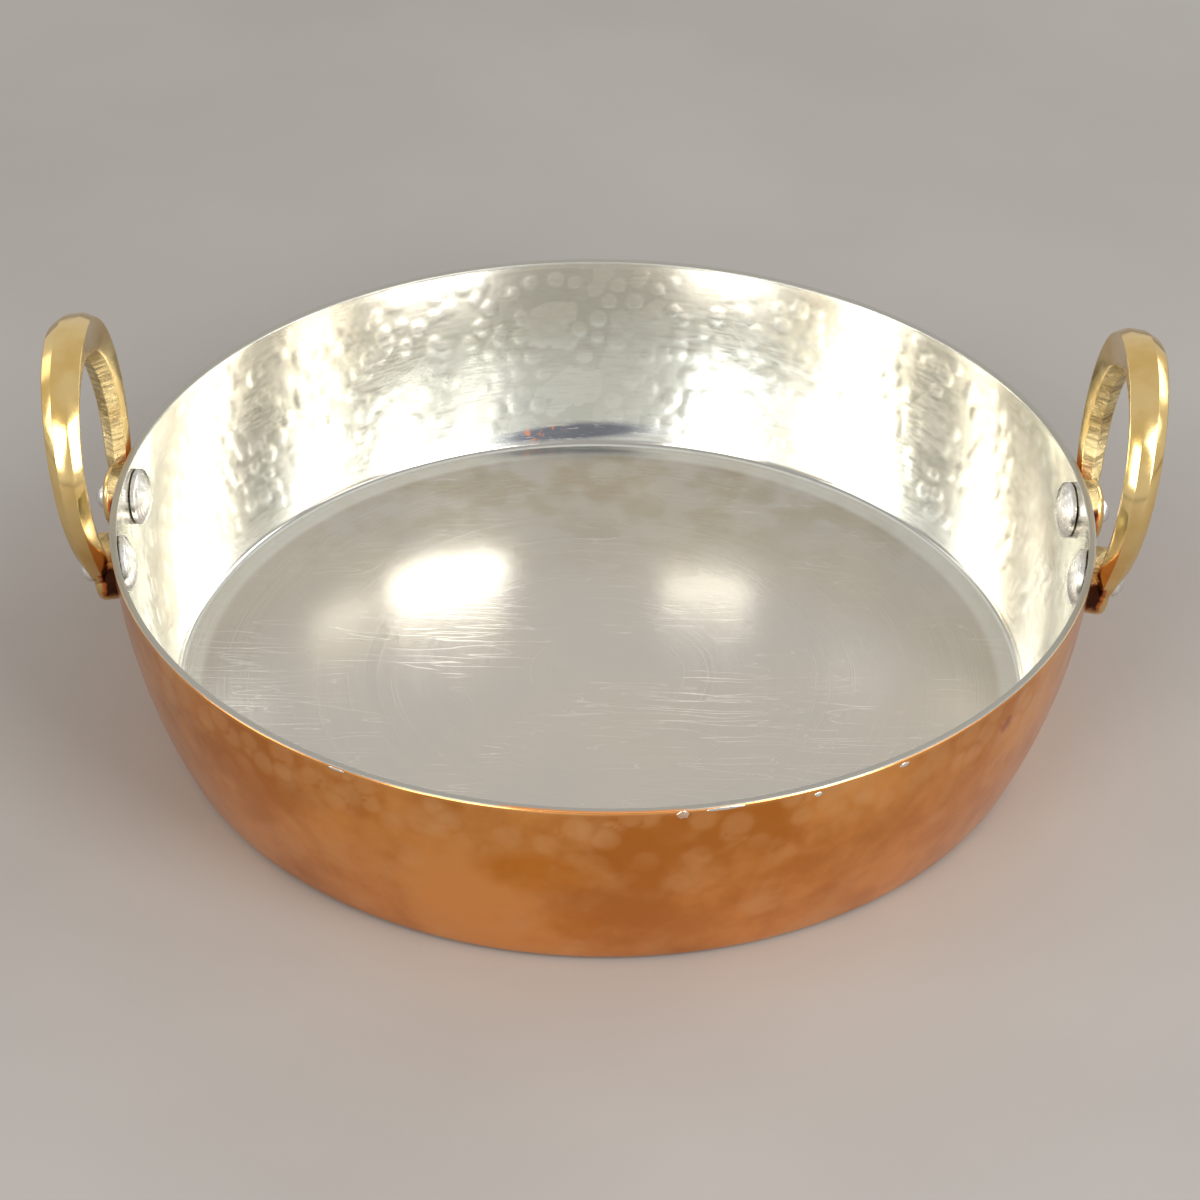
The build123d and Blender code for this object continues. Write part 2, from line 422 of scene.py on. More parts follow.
def tinned_floor():
    material, tree = new_material("tinned_floor")
    where, x, y, z = object_place(tree)
    radius = from_axis(tree, x, y)
    circles = cloud(tree, stretched(tree, x, y, radius, 4.0, 2600.0), 1.0, 3.0, 0.7)
    rings = cloud(tree, stretched(tree, x, y, radius, 3.0, 260.0), 1.0, 2.0)
    mottle = between(tree, cloud(tree, where, 70.0, 4.0), 0.42, 0.62)
    along_scratches = scratches(tree, where, 0.5, 26.0, 0.006, 30.0, 0.42, 0.55)
    crossing = scratches(tree, where, -0.9, 22.0, 0.005, 24.0, 0.44, 0.57)
    marks = maths(tree, "MAXIMUM", along_scratches, crossing)
    tone = layered(
        tree, GREY_TIN,
        (between(tree, cloud(tree, where, 16.0, 4.0), 0.3, 0.7), WARM_TIN),
        (between(tree, rings, 0.3, 0.75, 0.0, 0.15), CIRCLE_GREY),
        (times(tree, between(tree, y, BROWN_FROM_Y, BROWN_TO_Y, 0.0, 0.6), mottle), FLOOR_BROWN),
        (between(tree, radius, PALE_RING - PALE_RING_FADE, PALE_RING + PALE_RING_FADE, 0.0, 0.7), PALE_TIN),
        (times(tree, marks, 0.36), SCRATCH_WHITE),
    )
    scratched = bumped(tree, marks, 0.25, 0.04 * MM, bumped(tree, circles, 0.3, 0.06 * MM))
    return shaded(material, tone, between(tree, circles, 0.25, 0.75, 0.19, 0.28), scratched)


tinned_floor_material = tinned_floor()
print("made", tinned_floor_material.name)

# %% [markdown]
# ## Copper outside
#
# The outside is polished copper that has begun to darken in soft clouds. Heat and fingers turn it from
# orange to brown, and polish leaves short fine scratches. In the rows under the rim the middles of the
# hammer's dishes are painted paler, a painted reflection of the bright room beyond the table. Two deep
# orange patches lie on the front, and one red oxide spot below the rim at the right. Base colour carries
# the clouds, and roughness follows them, because tarnish is duller.

# %% The polished copper
OXIDE_SPOT = oval((100.1, -81.8, 48.5), (4.0, 4.0, 3.0))
LOWER_ORANGE = oval((-6.0, -121.0, 17.0), (9.0, 9.0, 9.0))
UPPER_ORANGE = oval((-15.0, -125.0, 36.0), (17.0, 12.0, 9.0))
TOP_ROWS = 9.0 * MM
ORANGE_COPPER = colour(0.93, 0.41, 0.115)
BROWN_COPPER = colour(0.64, 0.225, 0.04)
PALE_COPPER = colour(0.94, 0.49, 0.20)
# Painted reflection: paler copper in the middles of the dishes under the rim.
DISH_REFLECTION_COPPER = colour(0.97, 0.53, 0.23)
DEEP_ORANGE = colour(0.74, 0.25, 0.02)
OXIDE_RED = colour(0.42, 0.09, 0.04)


def polished_copper():
    material, tree = new_material("polished_copper")
    where, x, y, z = object_place(tree)
    clouds = cloud(tree, where, 19.0, 5.0, 0.6)
    patches = cloud(tree, where, 60.0, 3.0)
    in_top_rows = between(tree, z, PAN_HEIGHT - 2 * TOP_ROWS, PAN_HEIGHT - TOP_ROWS, 0.12, 0.34)
    dish_gleam = between(tree, blow_edge(tree), 0.0, 0.85, 1.0, 0.0)
    lower, upper = oval_mask(tree, where, **LOWER_ORANGE), oval_mask(tree, where, **UPPER_ORANGE)
    torn = times(tree, maths(tree, "MAXIMUM", lower, upper), between(tree, patches, 0.35, 0.6, 0.85, 0.25))
    spot = times(tree, oval_mask(tree, where, **OXIDE_SPOT),
                 between(tree, cloud(tree, where, 260.0), 0.4, 0.55))
    tone = layered(
        tree, ORANGE_COPPER,
        (between(tree, clouds, 0.38, 0.62), BROWN_COPPER),
        (between(tree, patches, 0.5, 0.72, 0.0, 0.5), PALE_COPPER),
        # Painted reflection in the middles of the dishes, strongest in the rows under the rim.
        (times(tree, in_top_rows, dish_gleam), DISH_REFLECTION_COPPER),
        (torn, DEEP_ORANGE),
        (times(tree, spot, 0.7), OXIDE_RED),
    )
    strokes = cloud(tree, stretched(tree, x, y, z, 60.0, 900.0), 1.0, 3.0, 0.6)
    fine = bumped(tree, strokes, 0.25, 0.08 * MM)
    uneven = bumped(tree, cloud(tree, where, 700.0, 3.0), 0.2, 0.1 * MM, fine)
    return shaded(material, tone, between(tree, clouds, 0.3, 0.7, 0.14, 0.23), uneven)


copper_material = polished_copper()
print("made", copper_material.name)

# %% [markdown]
# ## Brass, polished and as cast
#
# The ring handles are cast in sand. The outside faces are filed and polished to a mirror, and the finger
# side is left as it came from the sand, with dark file marks across it. So one handle has two finishes.
# Next to the wall the feet are painted black, a painted shade for the gap between foot and wall, with a red
# edge that is a painted reflection of the copper wall. A lighter brown stain with small black pits climbs the
# legs.

# %% The two brass finishes
STAIN_HEIGHT = 49.0 * MM
STAIN_REACH = 9.0 * MM
STAIN_RAGGED = 8.0 * MM
# Painted shade in the gap between each foot and the wall, with a red painted reflection of the copper at its
# edge.
FOOT_SHADE_HEIGHT = 47.0 * MM
FOOT_SHADE_TOP = 53.5 * MM
FOOT_SHADE_BOTTOM = 42.5 * MM
FOOT_SHADE_REACH = 3.6 * MM
FOOT_SHADE_EDGE = 0.8 * MM
FOOT_SHADE_RAGGED = 3.0 * MM
FILE_MARK_BROWN = colour(0.16, 0.10, 0.04)
STAIN_BROWN = colour(0.50, 0.25, 0.06)
PIT_BLACK = colour(0.05, 0.03, 0.02)
# Painted reflection of the copper wall, and painted shade in the gap beside the feet.
REFLECTED_COPPER_RED = colour(0.50, 0.13, 0.03)
FOOT_SHADE_BLACK = colour(0.02, 0.01, 0.008)


def off_the_wall(tree, x, y, z, where):
    """How far a point stands out from the pan's wall beside a foot, made ragged by a noise."""
    slope = (wall_radius(FOOT_SHADE_HEIGHT + MM) - wall_radius(FOOT_SHADE_HEIGHT - MM)) / (2 * MM)
    wall = plus(tree, wall_radius(FOOT_SHADE_HEIGHT), times(tree, minus(tree, z, FOOT_SHADE_HEIGHT), slope))
    uneven = times(tree, minus(tree, cloud(tree, where, 330.0, 3.0), 0.5), FOOT_SHADE_RAGGED)
    return plus(tree, minus(tree, from_axis(tree, x, y), wall), uneven)


def brass(name, light, dark, roughness, grain, depth, filed):
    """One brass finish: two tones, lowest and highest roughness, grain and its depth, dark of file marks."""
    material, tree = new_material(name)
    where, x, y, z = object_place(tree)
    marks = cloud(tree, stretched(tree, x, y, z, 110.0, 1300.0), 1.0, 3.0, 0.6)
    stain_top = ragged(tree, z, where, 160.0, STAIN_RAGGED)
    stain = between(tree, stain_top, STAIN_HEIGHT, STAIN_HEIGHT + STAIN_REACH, 1.0, 0.0)
    pits = times(tree, stain, between(tree, cloud(tree, where, 620.0, 1.0), 0.70, 0.74, 0.0, 0.9))
    away = off_the_wall(tree, x, y, z, where)
    height = ragged(tree, z, where, 420.0, FOOT_SHADE_RAGGED, 2.0)
    under_top = between(tree, height, FOOT_SHADE_TOP - FOOT_SHADE_RAGGED / 2, FOOT_SHADE_TOP, 0.94, 0.0)
    low_down = times(tree, under_top, between(tree, height, FOOT_SHADE_BOTTOM, FOOT_SHADE_BOTTOM + FOOT_SHADE_RAGGED))
    # Painted reflection: a red edge of reflected copper round the painted shade.
    red = times(tree, low_down, between(tree, away, FOOT_SHADE_REACH, FOOT_SHADE_REACH + FOOT_SHADE_EDGE, 1.0, 0.0))
    # Painted shade: black in the gap between foot and wall.
    foot_shade = times(tree, low_down, between(tree, away, FOOT_SHADE_REACH - FOOT_SHADE_EDGE, FOOT_SHADE_REACH, 1.0, 0.0))
    tone = layered(
        tree, light,
        (between(tree, cloud(tree, where, 90.0, 4.0), 0.35, 0.7), dark),
        (between(tree, marks, 0.46, 0.6, 0.0, filed), FILE_MARK_BROWN),
        (times(tree, stain, 0.25), STAIN_BROWN),
        (pits, PIT_BLACK),
        # Painted reflection of the copper, then painted shade, beside the wall.
        (red, REFLECTED_COPPER_RED),
        (foot_shade, FOOT_SHADE_BLACK),
    )
    dull = between(tree, cloud(tree, where, 240.0, 3.0), 0.3, 0.7, *roughness)
    duller = plus(tree, times(tree, stain, 0.1), times(tree, red, 0.25))
    grained = bumped(tree, cloud(tree, where, grain, 4.0, 0.65), 0.5, depth)
    return shaded(material, tone, plus(tree, dull, duller), grained)


polished_brass_material = brass(
    "polished_brass", light=colour(0.80, 0.59, 0.265), dark=colour(0.73, 0.49, 0.17), roughness=(0.11, 0.2),
    grain=500.0, depth=0.03 * MM, filed=0.0)
cast_brass_material = brass(
    "cast_brass", light=colour(0.88, 0.72, 0.38), dark=colour(0.42, 0.29, 0.11), roughness=(0.2, 0.36),
    grain=1900.0, depth=0.9 * MM, filed=0.6)
print("made", polished_brass_material.name, "and", cast_brass_material.name)

# %% [markdown]
# ## Rivet metal
#
# The rivets are a soft white metal, turned on a lathe before they are closed, so their heads show fine
# rings. The rings themselves are geometry. The material only adds a slightly uneven polish.

# %% The rivet metal
WHITE_METAL = colour(0.80, 0.78, 0.75)
GREY_METAL = colour(0.66, 0.64, 0.62)


def rivet_metal():
    material, tree = new_material("rivet_metal")
    where, x, y, z = object_place(tree)
    tone = layered(tree, WHITE_METAL, (between(tree, cloud(tree, where, 300.0), 0.35, 0.65), GREY_METAL))
    uneven = bumped(tree, cloud(tree, where, 1600.0, 2.0), 0.25, 0.1 * MM)
    roughness = between(tree, cloud(tree, where, 420.0, 3.0), 0.3, 0.7, 0.2, 0.36)
    return shaded(material, tone, roughness, uneven)


rivet_material = rivet_metal()
print("made", rivet_material.name)

# %% [markdown]
# ## Turning a profile
#
# Both sheets of the pan are bodies of revolution: one closed outline in radius and height, turned about
# the axis. Each point of the outline becomes a ring of points, and another short function links the rings
# with faces. Where the outline meets the axis there is a single point. The foot pads use the same faces.

# %% A helper that turns an outline


def new_object(name, vertices, faces):
    """A mesh object at the origin from vertices and faces."""
    mesh = bpy.data.meshes.new(name)
    mesh.from_pydata(vertices, [], faces)
    mesh.update()
    made = bpy.data.objects.new(name, mesh)
    bpy.context.scene.collection.objects.link(made)
    return made


def face_outwards(made):
    """Makes a closed mesh's faces agree and point outwards, going by its signed volume."""
    work = bmesh.new()
    work.from_mesh(made.data)
    bmesh.ops.recalc_face_normals(work, faces=work.faces)
    if work.calc_volume(signed=True) < 0:
        bmesh.ops.reverse_faces(work, faces=work.faces)
    work.to_mesh(made.data)
    work.free()
    return made


def skin_faces(rings, around):
    """Faces of a skin of rings between two single points, from the first point to the last in each step."""
    last = 1 + rings * around
    faces = []
    for step in range(around):
        after = (step + 1) % around
        faces.append((0, 1 + step, 1 + after))
        for low in range(1, last - around, around):
            faces.append((low + step, low + around + step, low + around + after, low + after))
        faces.append((last - around + after, last - around + step, last))
    return faces


def turned(name, outline, around):
    """Turns (radius, height) points about the Z axis. The first and last points lie on the axis."""
    turns = [tau * step / around for step in range(around)]
    vertices = [(0.0, 0.0, outline[0][1])]
    for radius, height in outline[1:-1]:
        vertices += [(radius * cos(turn), radius * sin(turn), height) for turn in turns]
    vertices.append((0.0, 0.0, outline[-1][1]))
    return face_outwards(new_object(name, vertices, skin_faces(len(outline) - 2, around)))


def corner_centre():
    """Middle of the small arc between floor and wall, the same for every surface of the sheet."""
    reach = arc_radius - OUTER_CORNER
    return arc_centre_r + sqrt(reach**2 - (OUTER_CORNER - arc_centre_z) ** 2), OUTER_CORNER


def cup_outline(inset, floor_steps, corner_steps, wall_steps, top):
    """Points from the axis along the floor, round the corner and up the wall to height top."""
    middle_r, middle_z = corner_centre()
    corner = OUTER_CORNER - inset
    lean = asin((middle_z - arc_centre_z) / (arc_radius - OUTER_CORNER))
    points = [(middle_r * step / floor_steps, inset) for step in range(floor_steps)]
    for step in range(corner_steps):
        angle = -pi / 2 + (lean + pi / 2) * step / corner_steps
        points.append((middle_r + corner * cos(angle), middle_z + corner * sin(angle)))
    start = arc_centre_z + (arc_radius - inset) * sin(lean)
    for step in range(wall_steps + 1):
        height = start + (top - start) * step / wall_steps
        points.append((wall_radius(height, inset), height))
    return points


print("corner centre in mm:", [round(1000 * x, 2) for x in corner_centre()])

# %% [markdown]
# ## Hammer blows
#
# A planishing hammer goes over the sheet several times and leaves round, shallow dishes that overlap like
# scales. This is a repeated shape, so Geometry Nodes makes it, one round of blows after another. In a round,
# points are scattered over the hammered part so that no two dishes meet. Every vertex looks for its nearest
# blow and takes the dish's depth there, and inside the new dish the older ones are nearly wiped out, so the
# last blow shows as a whole circle. A noise read at each blow's middle makes some blows wider and some
# lighter, and a slow one bends the whole sheet a little, as hand-raised metal is. How near a point lies to
# the edge of its dish is stored on the sheet. The tin reads it for painted shade on the dish edges, and
# the copper reads it for a painted reflection in the dish middles.

# %% The Geometry Nodes tree for hammering
ROUNDS_OF_BLOWS = 3
SEED_STEP = 10.0
POINTS_OFFERED = 4.0
NARROWEST_BLOW = 0.72
DISH_POWER = 3.5
EDGE_POWER = 3.0
WIPING_POWER = 4.0


def new_tree(name, inputs, result):
    """A Geometry Nodes tree with named inputs, each of a given kind, and one mesh out. Also its inputs."""
    tree = bpy.data.node_groups.new(name, "GeometryNodeTree")
    for label, kind in inputs.items():
        tree.interface.new_socket(label, in_out="INPUT", socket_type=f"NodeSocket{kind}")
    tree.interface.new_socket(result, in_out="OUTPUT", socket_type="NodeSocketGeometry")
    return tree, node(tree, "NodeGroupInput").outputs


def stored(tree, name, kind):
    """What a mesh has stored under a name."""
    return node(tree, "GeometryNodeInputNamedAttribute", {"Name": name}, data_type=kind).outputs["Attribute"]


def round_of_blows(tree, given, hammered, here, so_far, seed_step):
    """Lets one more round land. so_far is how deep the sheet lies and how near an edge it is, or None."""
    crowd = maths(tree, "DIVIDE", POINTS_OFFERED, times(tree, given["Blow spacing"], given["Blow spacing"]))
    blows = node(tree, "GeometryNodeDistributePointsOnFaces", {
        "Mesh": given["Sheet"],
        "Distance Min": given["Blow spacing"],
        "Density Max": crowd,
        "Density Factor": hammered,
        "Seed": plus(tree, given["Blow seed"], seed_step),
    }, distribute_method="POISSON").outputs["Points"]
    nearest = node(tree, "GeometryNodeSampleNearest", {"Geometry": blows}).outputs["Index"]
    middle = node(tree, "GeometryNodeSampleIndex", {"Geometry": blows, "Value": here, "Index": nearest},
                  data_type="FLOAT_VECTOR").outputs["Value"]
    away = vector_maths(tree, "DISTANCE", here, middle)["Value"]
    width = between(tree, cloud(tree, middle, 310.0, 1.0), 0.3, 0.7, NARROWEST_BLOW, 1.0)
    share = maths(tree, "DIVIDE", away, times(tree, given["Blow radius"], width))
    share = maths(tree, "MINIMUM", share, 1.0)
    lightest = minus(tree, 1.0, given["Light blow share"])
    force = between(tree, cloud(tree, middle, 60.0, 3.0), 0.38, 0.62, lightest, 1.0)
    depth = times(tree, times(tree, given["Blow depth"], force), width)
    dish = times(tree, minus(tree, 1.0, maths(tree, "POWER", share, DISH_POWER)), depth)
    edge = times(tree, maths(tree, "POWER", share, EDGE_POWER), force)
    if so_far is None:
        return dish, edge
    sunk, older_edge = so_far
    left_over = times(tree, sunk, maths(tree, "POWER", share, WIPING_POWER))
    outside = maths(tree, "GREATER_THAN", share, 0.999)
    edges = plus(tree, times(tree, older_edge, outside), times(tree, edge, minus(tree, 1.0, outside)))
    return maths(tree, "MAXIMUM", left_over, dish), edges


def hammering():
    """The tree: named inputs for the blows, the wall and floor metals, and one mesh out."""
    tree, given = new_tree("hammer_blows", {
        "Sheet": "Geometry", "Blow spacing": "Float", "Blow radius": "Float", "Blow depth": "Float",
        "Light blow share": "Float", "Sheet wobble": "Float", "Blow seed": "Int", "Wall metal": "Material",
        "Floor metal": "Material",
    }, "Hammered sheet")
    hammered = stored(tree, "hammered", "FLOAT")
    here = node(tree, "GeometryNodeInputPosition").outputs[0]
    so_far = None
    for number in range(ROUNDS_OF_BLOWS):
        so_far = round_of_blows(tree, given, hammered, here, so_far, SEED_STEP * number)
    sunk, edge = so_far
    wave = times(tree, minus(tree, cloud(tree, here, 28.0, 1.0), 0.5), given["Sheet wobble"])
    moved = times(tree, minus(tree, wave, sunk), hammered)
    facing = node(tree, "GeometryNodeInputNormal").outputs[0]
    offset = node(tree, "ShaderNodeVectorMath", {0: facing, "Scale": moved}, operation="SCALE").outputs[0]
    beaten = node(tree, "GeometryNodeSetPosition", {"Geometry": given["Sheet"], "Offset": offset})
    marked = node(tree, "GeometryNodeStoreNamedAttribute", {
        "Geometry": beaten.outputs[0],
        "Name": "blow_edge",
        "Value": times(tree, edge, hammered),
    }, data_type="FLOAT", domain="POINT")
    whole = node(tree, "GeometryNodeRealizeInstances", {"Geometry": marked.outputs[0]})
    walled = node(tree, "GeometryNodeSetMaterial", {
        "Geometry": whole.outputs[0],
        "Material": given["Wall metal"],
    })
    floored = node(tree, "GeometryNodeSetMaterial", {
        "Geometry": walled.outputs[0],
        "Selection": stored(tree, "floor_part", "BOOLEAN"),
        "Material": given["Floor metal"],
    })
    node(tree, "NodeGroupOutput", {0: floored.outputs[0]})
    return tree


def made_by_nodes(made, tree, settings):
    """Runs a Geometry Nodes tree on an object and keeps the result as its plain mesh."""
    modifier = made.modifiers.new(tree.name, "NODES")
    modifier.node_group = tree
    for socket in tree.interface.items_tree:
        if socket.name in settings:
            modifier[socket.identifier] = settings[socket.name]
    graph = bpy.context.evaluated_depsgraph_get()
    plain = bpy.data.meshes.new_from_object(made.evaluated_get(graph))
    made.modifiers.remove(modifier)
    made.data = plain
    return made


def mark_sheet(made, hammered_part, floor_part):
    """Stores how much each vertex is hammered and which faces are floor, from two rules."""
    mesh = made.data
    amount = mesh.attributes.new("hammered", "FLOAT", "POINT")
    for vertex in mesh.vertices:
        amount.data[vertex.index].value = hammered_part(vertex.co, vertex.normal)
    floor = mesh.attributes.new("floor_part", "BOOLEAN", "FACE")
    for face in mesh.polygons:
        floor.data[face.index].value = floor_part(face.center, face.normal)
    mesh.shade_smooth()


hammer_tree = hammering()
print("hammering tree has", len(hammer_tree.nodes), "nodes")

# %% [markdown]
# ## The tin lining
#
# Tin and copper are one sheet in the hand, but two metals, so each is its own closed skin here. The lining
# is 0.3 mm thick, covers the inside, and is wiped over the cut rim. Its inner wall has a fine grid, since
# the blows are real dents. Its hidden back needs few points, and lies a hair further out than the CAD has
# it, so that no deep blow cuts through it. The band just under the rim and the last few millimetres above
# the floor are smoother, because the hammer doesn't reach into the corner.

# %% Make the tin lining
AROUND_TIN = 960
RIM_ROUND = 0.14 * MM
HIDDEN_ROOM = 0.05 * MM


def ramp(value, low, high):
    """0 below low, 1 above high, and a straight line between."""
    return min(1.0, max(0.0, (value - low) / (high - low)))


def lining_outline():
    """The closed outline of the lining: hidden back, rim, then down the inside to the axis."""
    copper_top = PAN_HEIGHT - TIN
    back = cup_outline(COPPER - HIDDEN_ROOM, 2, 2, 10, copper_top)
    inside = cup_outline(SHEET, 5, 6, 68, PAN_HEIGHT - RIM_ROUND)
    rim = [
        (RIM_RADIUS - RIM_ROUND, copper_top),
        (RIM_RADIUS, copper_top + RIM_ROUND / 2),
        (RIM_RADIUS - RIM_ROUND / 3, PAN_HEIGHT - RIM_ROUND / 3),
        (RIM_RADIUS - RIM_ROUND, PAN_HEIGHT),
        (RIM_RADIUS - SHEET / 2, PAN_HEIGHT + 0.02 * MM),
        (inside[-1][0] + RIM_ROUND, PAN_HEIGHT),
        (inside[-1][0] + RIM_ROUND / 3, PAN_HEIGHT - RIM_ROUND / 3),
    ]
    return back + rim + inside[::-1]


def lining_blows(place, facing):
    """Blows cover the inner wall, and fade out above the floor and just under the rim."""
    inward = facing.x * place.x + facing.y * place.y < 0
    if not inward:
        return 0.0
    return ramp(place.z, 4.0 * MM, 9.0 * MM) * ramp(PAN_HEIGHT - place.z, 0.6 * MM, 2.6 * MM)


def lining_floor(place, facing):
    """The floor is what faces straight up, well below the rim."""
    return facing.z > 0.98 and place.z < PAN_HEIGHT / 2


lining = turned("tin_lining_hammered", lining_outline(), AROUND_TIN)
mark_sheet(lining, lining_blows, lining_floor)
made_by_nodes(lining, hammer_tree, {
    "Blow spacing": 5.7 * MM,
    "Blow radius": 3.1 * MM,
    "Blow depth": 0.085 * MM,
    "Light blow share": 0.65,
    "Sheet wobble": 0.1 * MM,
    "Blow seed": 7,
    "Wall metal": tinned_wall_material,
    "Floor metal": tinned_floor_material,
})
print("lining faces:", len(lining.data.polygons))

# %% [markdown]
# ## The copper pan
#
# The outside shows wider, flatter blows, clearest in the rows under the rim, and polished nearly away
# below. The base is left smooth so that the pan stands flat. The same tree is used with larger spacing.

# %% Make the copper pan
AROUND_COPPER = 800


def copper_outline():
    """The closed outline of the copper: base, outer wall, cut edge, then the hidden inside."""
    top = PAN_HEIGHT - TIN
    outside = cup_outline(0.0, 4, 6, 64, top)
    inside = cup_outline(COPPER - 2 * HIDDEN_ROOM, 2, 2, 10, top)
    return outside + inside[::-1]


def copper_blows(place, facing):
    """Blows are strongest in the rows under the rim, and half as strong lower down."""
    outward = facing.x * place.x + facing.y * place.y > 0
    if not outward:
        return 0.0
    down = PAN_HEIGHT - place.z
    rows = 1.0 - 0.55 * ramp(down, 14.0 * MM, 26.0 * MM)
    return rows * ramp(down, 0.5 * MM, 2.0 * MM) * ramp(place.z, 3.0 * MM, 8.0 * MM)


def copper_floor(place, facing):
    """No copper face has the floor's finish."""
    return False


copper = turned("pan_body_hammered", copper_outline(), AROUND_COPPER)
mark_sheet(copper, copper_blows, copper_floor)
made_by_nodes(copper, hammer_tree, {
    "Blow spacing": 8.6 * MM,
    "Blow radius": 4.7 * MM,
    "Blow depth": 0.17 * MM,
    "Light blow share": 0.5,
    "Sheet wobble": 0.3 * MM,
    "Blow seed": 3,
    "Wall metal": copper_material,
    "Floor metal": copper_material,
})
print("copper faces:", len(copper.data.polygons))

# %% [markdown]
# ## Where the rivets go
#
# Each handle has two rivets, set square to the wall. Their places come from the same sizes as in the CAD:
# the drop below the rim, and the straight distance between the two. A place is an origin on the outer wall
# and three directions: along the rim, up the wall, and straight out.

# %% Rivet places
RIVET_DROP = 10.6 * MM
RIVET_SPACING = 32.3 * MM
RIVET_HEIGHT = PAN_HEIGHT - RIVET_DROP


def rivet_place(side, end):
    """Origin, along, up and out of one rivet. side is 1 right or -1 left, end is 1 or -1 along the rim."""
    radius = wall_radius(RIVET_HEIGHT)
    turn = (0.0 if side > 0 else pi) + end * asin(RIVET_SPACING / 2 / radius)
    level_out = Vector((cos(turn), sin(turn), 0))
    along = Vector((-sin(turn), cos(turn), 0))
    out = (level_out * (radius - arc_centre_r) + Vector((0, 0, RIVET_HEIGHT - arc_centre_z))).normalized()
    origin = level_out * radius + Vector((0, 0, RIVET_HEIGHT))
    return origin, along, out.cross(along), out


rivet_places = {(side, end): rivet_place(side, end) for side in (1, -1) for end in (-1, 1)}
for key, (origin, along, climb, out) in rivet_places.items():
    print("rivet", key, "at", [round(1000 * x, 1) for x in origin], "mm")

# %% [markdown]
# ## The ring's bar
#
# The bar is swept round an open ring. Its section has seven sides: an outer flat with a slope on each side,
# two deep cheeks that lead in towards the finger hole, and two rough faces that meet in a ridge. The hole
# sits lower than the ring, so the grip is deep where the hand pulls, and the legs are slim. At the feet
# the outer flat flares out to the edge of the pad. Corners are rounded by a hair and faces are crowned a
# little, as polishing does, and the rough faces get more points, because sand and file push them about.

# %% Sizes of the handle
RING_RADIUS = 32.2 * MM
HANDLE_LEAN = radians(7.6)
FINGER_HOLE_RADIUS = 27.6 * MM
FINGER_HOLE_DROP = 3.4 * MM
FINGER_RIDGE = 2.3 * MM
WIDEST_RISE = 0.6 * MM
GRIP_WIDTH = 10.9 * MM
GRIP_FINGER_WIDTH = 6.6 * MM
GRIP_RISE = 2.0 * MM
LEG_WIDTH = 7.2 * MM
LEG_FINGER_WIDTH = 5.8 * MM
LEG_RISE = 2.3 * MM
LEG_ANGLE = radians(128.0)
FOOT_WIDTH = 3.4 * MM
FOOT_FINGER_WIDTH = 2.8 * MM
FOOT_RISE = 8.0 * MM
FLARE_ANGLE = radians(110.0)
PAD_RADIUS = 8.9 * MM
PAD_THICKNESS = 5.4 * MM
PAD_EDGE = 2.0 * MM
SEAT_GAP = 0.05 * MM

ring_climb = sqrt(RING_RADIUS**2 - (RIVET_SPACING / 2) ** 2)
ring_half_turn = pi / 2 + acos(RIVET_SPACING / 2 / RING_RADIUS)


def bar_width(from_top, grip, leg, foot):
    """A width of the bar at an angle from the top of the ring, from its three named values."""
    if from_top <= LEG_ANGLE:
        return grip + (leg - grip) * from_top / LEG_ANGLE
    return leg + (foot - leg) * (from_top - LEG_ANGLE) / (ring_half_turn - LEG_ANGLE)


def foot_flare(from_top):
    """0 round the ring and up to 1 at the end of the bar, where it spreads into the foot."""
    return (max(from_top - FLARE_ANGLE, 0) / (ring_half_turn - FLARE_ANGLE)) ** 2


def outer_rise(from_top):
    """From the ring line to the outer flat."""
    rise = GRIP_RISE + (LEG_RISE - GRIP_RISE) * min(from_top / FLARE_ANGLE, 1)
    return rise + (FOOT_RISE - LEG_RISE) * foot_flare(from_top)


def finger_hole_distance(from_top):
    """From the ring's middle to the edge of the finger hole, whose own middle lies lower."""
    across_drop = FINGER_HOLE_DROP * sin(from_top)
    return sqrt(FINGER_HOLE_RADIUS**2 - across_drop**2) - FINGER_HOLE_DROP * cos(from_top)


print("ring half turn in degrees:", round(ring_half_turn * 180 / pi, 1))

# %% The bar's section
CORNER_ROUND = 0.26 * MM
FACE_CROWN = 0.06 * MM
POLISHED_SHARES = (0.08, 0.35, 0.65, 0.92)
ROUGH_SHARES = [step / 8 for step in range(1, 8)]
ROUGH_FACES = (3, 4)
ROUGH_CORNER = 4
FLAT_EDGES = {1: (-0.36, 0.42), -1: (-0.38, 0.44)}


def bar_corners(side, from_top):
    """The seven corners of the section, as (across, outwards) from the ring line."""
    widest = bar_width(from_top, GRIP_WIDTH, LEG_WIDTH, FOOT_WIDTH) / 2
    finger = bar_width(from_top, GRIP_FINGER_WIDTH, LEG_FINGER_WIDTH, FOOT_FINGER_WIDTH) / 2
    rise = outer_rise(from_top)
    hole = finger_hole_distance(from_top) - RING_RADIUS
    pan_edge, away_edge = FLAT_EDGES[side]
    return [Vector(corner) for corner in (
        (pan_edge * widest, rise), (away_edge * widest, rise), (widest, WIDEST_RISE), (finger, hole),
        (0, hole - FINGER_RIDGE), (-finger, hole), (-widest, WIDEST_RISE),
    )]


